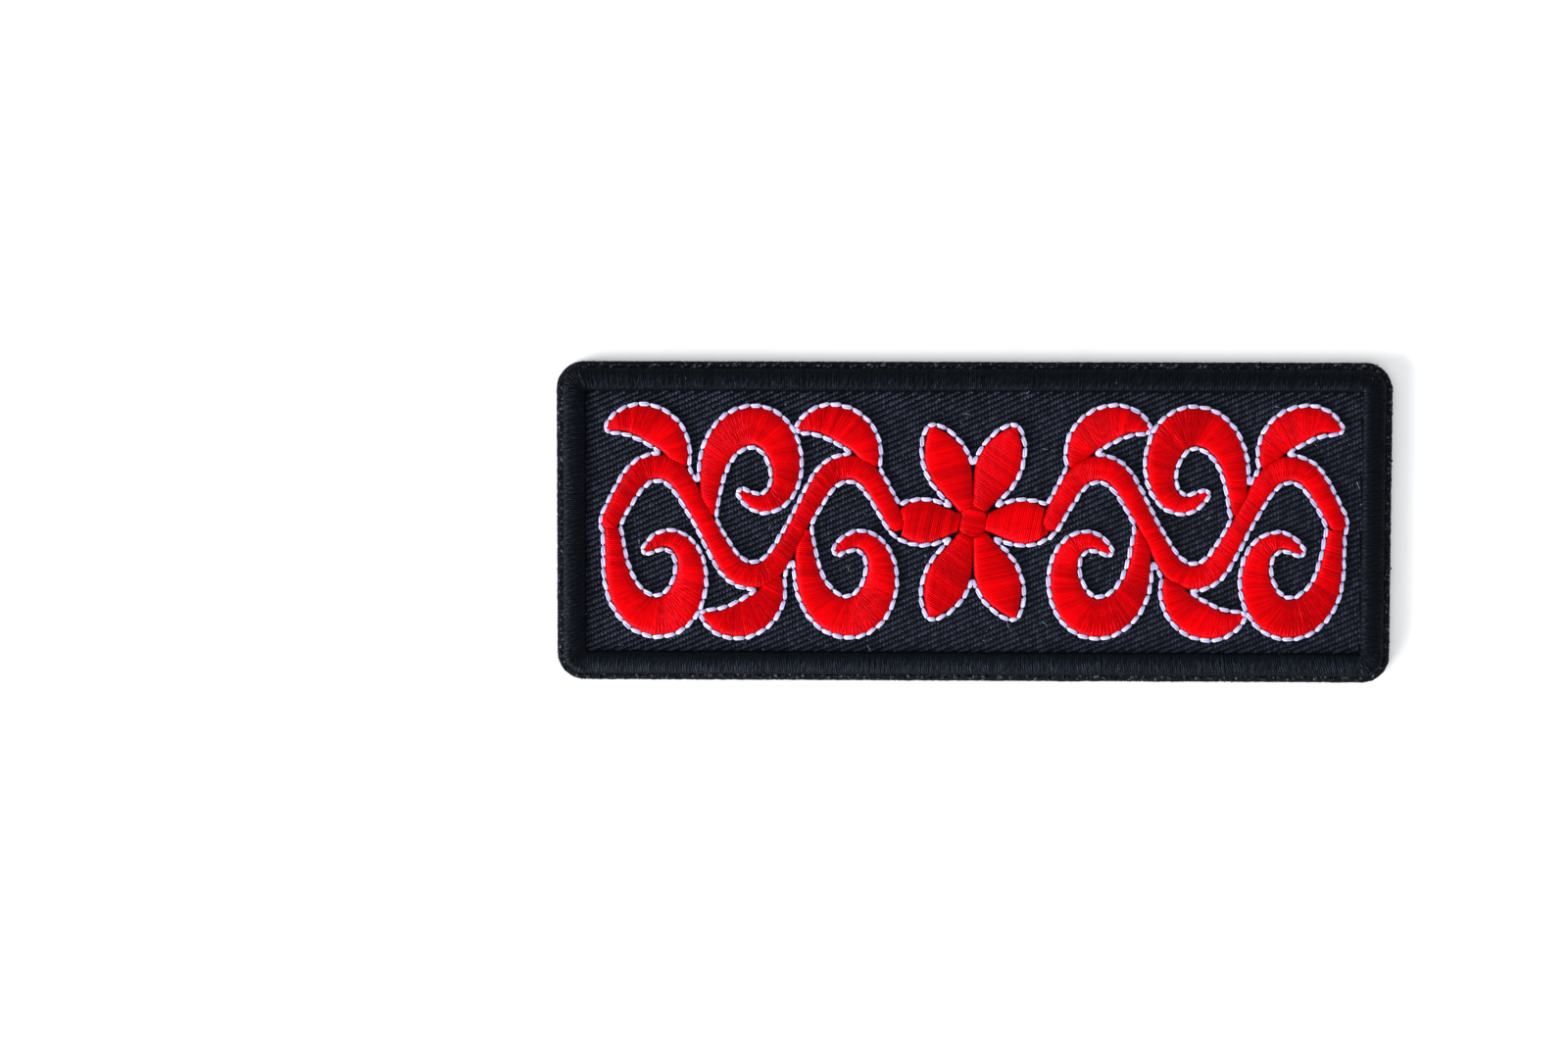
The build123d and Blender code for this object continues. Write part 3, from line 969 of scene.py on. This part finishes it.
def frayEdge():  # fibre tips that stand out of the cut
    draw = np.random.default_rng(fuzz["seed"])
    path = roundedPath(halfSize, patch["cornerRadius"], *fuzz["path"])
    ends = []
    for k in draw.integers(0, len(path), fuzz["count"]):
        way = path[(k + 1) % len(path)] - path[k]
        way = way / np.hypot(*way)
        out = np.array([way[1], -way[0]])
        spot = path[k] + way * draw.uniform(0, fuzz["shift"])
        onTop = draw.uniform() < fuzz["topShare"]
        root = spot - out * (draw.uniform(*fuzz["topRoot"]) if onTop else fuzz["sideRoot"])
        z = fuzz["topZ"] if onTop else draw.uniform(*fuzz["sideZ"])
        length = draw.uniform(*fuzz["length"])
        angle = draw.uniform(-fuzz["turn"], fuzz["turn"])
        run = (out * math.cos(angle) + way * math.sin(angle)) * length
        tip = root + run * fuzz["topRun" if onTop else "sideRun"]
        ends.append(((*root, z), (*tip, z + draw.uniform(0.0, fuzz["lift"]) * length)))
    return strewStrands("cut_edge_fuzz", ends, fuzz["radius"], fuzzFibre, fuzz["seed"])


lintPiece, fuzzPiece = strewLint(), frayEdge()

sewnPieces = [*satinPieces, border, outline, *clothPieces, lintPiece, fuzzPiece]
for piece in [cloth, *sewnPieces]:
    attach(piece, "root")
print("pieces ride on the patch:", len(sewnPieces) + 1)


# Floor, light and camera, in metres

studio = {"floorSize": 4.0, "floorTone": 0.96, "floorRoughness": 0.9, "floorSpecular": 0.1,
          "skyColour": (0.97, 0.985, 1.0), "skyStrength": 0.82, "lampColour": (0.94, 0.97, 1.0),
          "keyPower": 35.5, "keySize": (1.1, 0.3), "keyFrom": (-0.90, -0.60, 0.32),
          "fillPower": 3.0, "fillSize": (1.0, 0.3), "fillFrom": (0.85, 0.75, 0.35)}
shot = {"lens": 85, "sensor": 36, "clip": (0.01, 20), "place": (-0.01159, 0.03300, 0.45216),
        "turn": (-4.197, 1.462, 0.089)}


def layFloor():
    mesh = bpy.data.meshes.new("studio_floor")
    size = studio["floorSize"]
    corners = [(-size, -size, 0), (size, -size, 0), (size, size, 0), (-size, size, 0)]
    mesh.from_pydata(corners, [], [(0, 1, 2, 3)])
    material = bpy.data.materials.new("paleFloor")
    material.use_nodes = True
    shader = material.node_tree.nodes["Principled BSDF"]
    shader.inputs["Base Color"].default_value = (studio["floorTone"],) * 3 + (1,)
    shader.inputs["Roughness"].default_value = studio["floorRoughness"]
    shader.inputs["Specular IOR Level"].default_value = studio["floorSpecular"]
    mesh.materials.append(material)
    floor = placed("studio_floor", mesh)


def hangLight(name, power, size, place):
    lamp = bpy.data.lights.new(name, "AREA")
    lamp.energy, lamp.shape, lamp.size, lamp.size_y = power, "RECTANGLE", *size
    lamp.color = studio["lampColour"]
    holder = placed(name, lamp)
    holder.location = place
    holder.rotation_euler = (-Vector(place)).to_track_quat("-Z", "Y").to_euler()


def lightSky():
    world = bpy.data.worlds.new("paleRoom")
    world.use_nodes = True
    sky = world.node_tree.nodes["Background"].inputs
    sky["Color"].default_value = (*studio["skyColour"], 1)
    sky["Strength"].default_value = studio["skyStrength"]
    bpy.context.scene.world = world


def setCamera():  # fitted to the patch's four corners
    camera = bpy.data.cameras.new("camera")
    camera.lens, camera.sensor_width = shot["lens"], shot["sensor"]
    camera.clip_start, camera.clip_end = shot["clip"]
    holder = placed("camera", camera)
    holder.location = shot["place"]
    holder.rotation_euler = Euler([math.radians(angle) for angle in shot["turn"]])
    bpy.context.scene.camera = holder


layFloor()
lightSky()
hangLight("keyLight", studio["keyPower"], studio["keySize"], studio["keyFrom"])
hangLight("fillLight", studio["fillPower"], studio["fillSize"], studio["fillFrom"])
setCamera()
bpy.context.scene.view_settings.view_transform = "Standard"
print("studio set")
